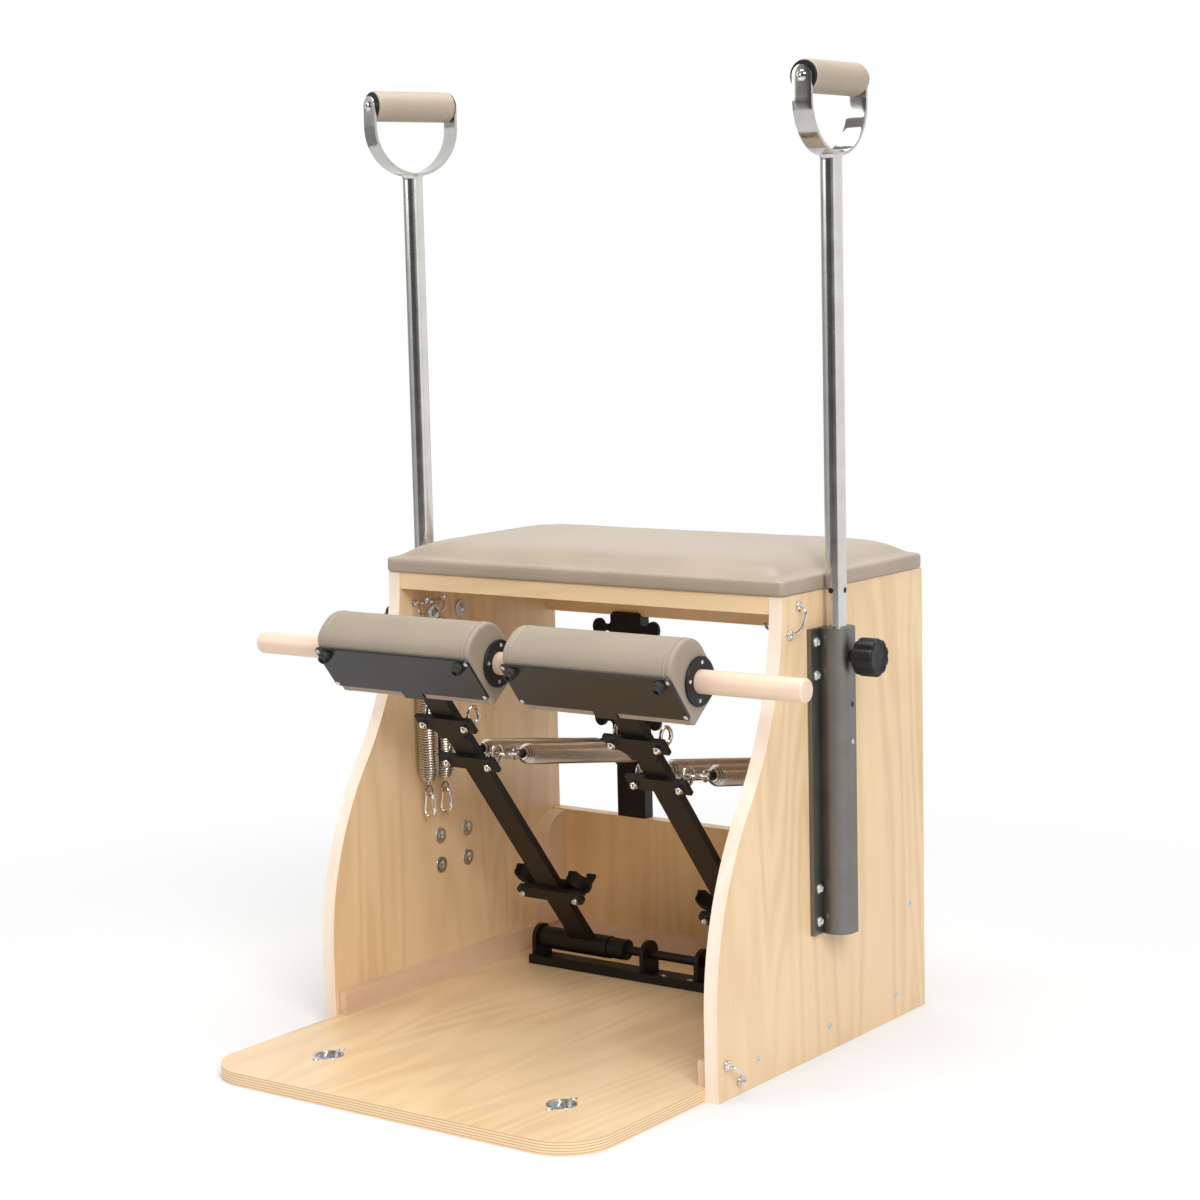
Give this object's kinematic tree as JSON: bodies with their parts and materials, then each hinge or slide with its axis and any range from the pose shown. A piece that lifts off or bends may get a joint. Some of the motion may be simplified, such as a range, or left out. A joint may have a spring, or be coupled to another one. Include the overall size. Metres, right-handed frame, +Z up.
{
  "type": "pilates chair",
  "caption": "Wooden pilates chair with a padded seat, split spring-loaded pedals joined by a dowel, hook posts for the springs and sliding handle poles.",
  "frame": {"origin": "on the floor under the middle of the outline", "axes": "+Z up, -Y towards the pedals and the user in front, +X to the right seen from the front"},
  "size_m": [0.818, 0.725, 1.1815],
  "materials": {
    "ply": "clear satin lacquer over birch plywood",
    "beech": "clear satin lacquer",
    "dowel": "sanded",
    "seat_vinyl": "smooth upholstery vinyl",
    "pad_vinyl": "vinyl with a fine woven print",
    "black_steel": "satin black powder coat",
    "anodised": "dark anodised",
    "black_plastic": "moulded",
    "rubber": "moulded",
    "grip_vinyl": "vinyl over foam",
    "chrome": "polished",
    "spring_steel": "plated spring wire",
    "screw_steel": "zinc plated"
  },
  "bodies": {
    "frame": {"base_board": "ply", "side_panel_left": "ply", "side_panel_right": "ply", "back_panel": "ply", "front_rail": "ply", "rear_rail": "ply", "seat_board": "ply", "seat_cushion": "seat_vinyl", "floor_cleats": "beech", "corner_cleats": "beech", "spring_posts": "black_steel", "hook_plates": "black_steel", "pivot_channel": "black_steel", "pivot_axle": "chrome", "pivot_bushes": "black_plastic", "axle_collars": "black_steel", "pole_brackets": "anodised", "bracket_bolts": "screw_steel", "strap_hooks": "chrome", "frame_screws": "screw_steel", "floor_eyes": "chrome", "spare_hangers": "chrome", "spare_springs": "spring_steel", "spare_snaps": "chrome"},
    "pedal_left": {"pedal_arm_left": "black_steel", "eye_bolts_left": "chrome", "hook_bracket_left": "black_steel", "pedal_pad_left": "pad_vinyl", "pedal_plate_left": "black_steel", "pad_discs_left": "black_plastic", "pedal_bumpers_left": "rubber", "plate_screws_left": "screw_steel"},
    "pedal_right": {"pedal_arm_right": "black_steel", "eye_bolts_right": "chrome", "hook_bracket_right": "black_steel", "pedal_pad_right": "pad_vinyl", "pedal_plate_right": "black_steel", "pad_discs_right": "black_plastic", "pedal_bumpers_right": "rubber", "plate_screws_right": "screw_steel"},
    "dowel": {"connecting_dowel": "dowel"},
    "spring_left": {"springs_left": "spring_steel"},
    "spring_tip_left": {"spring_plugs_left": "black_plastic"},
    "snap_left": {"snaps_left": "chrome"},
    "pole_left": {"pole_plug_left": "black_plastic"},
    "handle_left": {"handle_pole_left": "chrome", "hand_grip_left": "grip_vinyl", "grip_ends_left": "black_plastic", "grip_screws_left": "screw_steel"},
    "knob_left": {"lock_knob_left": "black_plastic"},
    "spring_right": {"springs_right": "spring_steel"},
    "spring_tip_right": {"spring_plugs_right": "black_plastic"},
    "snap_right": {"snaps_right": "chrome"},
    "pole_right": {"pole_plug_right": "black_plastic"},
    "handle_right": {"handle_pole_right": "chrome", "hand_grip_right": "grip_vinyl", "grip_ends_right": "black_plastic", "grip_screws_right": "screw_steel"},
    "knob_right": {"lock_knob_right": "black_plastic"}
  },
  "joints": [
    {"name": "pedal_left_hinge", "type": "hinge", "parent": "frame", "child": "pedal_left", "pos_m": [-0.1452, 0.2345, 0.0486], "axis": [1, 0, 0], "range_deg": [0, 50.9], "stiffness_Nm_per_rad": 30, "springref_deg": -51.57},
    {"name": "pedal_right_hinge", "type": "hinge", "parent": "frame", "child": "pedal_right", "pos_m": [0.1452, 0.2345, 0.0486], "axis": [1, 0, 0], "range_deg": [0, 50.9], "stiffness_Nm_per_rad": 30, "springref_deg": -51.57},
    {"name": "dowel_slide", "type": "slide", "parent": "pedal_left", "child": "dowel", "axis": [-1, 0, 0], "range_m": [0, 0.65]},
    {"name": "spring_left_swing", "type": "hinge", "parent": "frame", "child": "spring_left", "pos_m": [-0.1452, 0.3415, 0.296], "axis": [1, 0, 0], "range_deg": [-1, 35.57]},
    {"name": "spring_left_stretch", "type": "slide", "parent": "spring_left", "child": "spring_tip_left", "axis": [0, -0.9882, 0.1533], "range_m": [-0.002, 0.20079], "deforming": ["springs_left"]},
    {"name": "snap_left_swing", "type": "hinge", "parent": "pedal_left", "child": "snap_left", "pos_m": [-0.1452, 0.01446, 0.34674], "axis": [1, 0, 0], "range_deg": [-17.33, 1]},
    {"name": "pole_left_slide", "type": "slide", "parent": "frame", "child": "pole_left", "axis": [0, 0, 1], "range_m": [-0.075, 0.156]},
    {"name": "handle_left_turn", "type": "hinge", "parent": "pole_left", "child": "handle_left", "pos_m": [-0.317, 0.1265, 0], "axis": [0, 0, 1], "range_deg": [-90, 90]},
    {"name": "knob_left_turn", "type": "hinge", "parent": "frame", "child": "knob_left", "pos_m": [-0.317, 0.1265, 0.488], "axis": [1, 0, 0], "continuous": true},
    {"name": "spring_right_swing", "type": "hinge", "parent": "frame", "child": "spring_right", "pos_m": [0.1452, 0.3415, 0.296], "axis": [1, 0, 0], "range_deg": [-1, 35.57]},
    {"name": "spring_right_stretch", "type": "slide", "parent": "spring_right", "child": "spring_tip_right", "axis": [0, -0.9882, 0.1533], "range_m": [-0.002, 0.20079], "deforming": ["springs_right"]},
    {"name": "snap_right_swing", "type": "hinge", "parent": "pedal_right", "child": "snap_right", "pos_m": [0.1452, 0.01446, 0.34674], "axis": [1, 0, 0], "range_deg": [-17.33, 1]},
    {"name": "pole_right_slide", "type": "slide", "parent": "frame", "child": "pole_right", "axis": [0, 0, 1], "range_m": [-0.075, 0.156]},
    {"name": "handle_right_turn", "type": "hinge", "parent": "pole_right", "child": "handle_right", "pos_m": [0.317, 0.1265, 0], "axis": [0, 0, 1], "range_deg": [-90, 90]},
    {"name": "knob_right_turn", "type": "hinge", "parent": "frame", "child": "knob_right", "pos_m": [0.317, 0.1265, 0.488], "axis": [1, 0, 0], "continuous": true}
  ],
  "couplings": [
    {"joint": "pedal_right_hinge", "follows": "pedal_left_hinge", "ratio": 1},
    {"joint": "spring_left_swing", "follows": "pedal_left_hinge", "ratio": 0.67912},
    {"joint": "spring_left_stretch", "follows": "pedal_left_hinge", "m_per_rad": 0.22377},
    {"joint": "snap_left_swing", "follows": "pedal_left_hinge", "ratio": -0.32088},
    {"joint": "spring_right_swing", "follows": "pedal_left_hinge", "ratio": 0.67912},
    {"joint": "spring_right_stretch", "follows": "pedal_left_hinge", "m_per_rad": 0.22377},
    {"joint": "snap_right_swing", "follows": "pedal_left_hinge", "ratio": -0.32088}
  ]
}
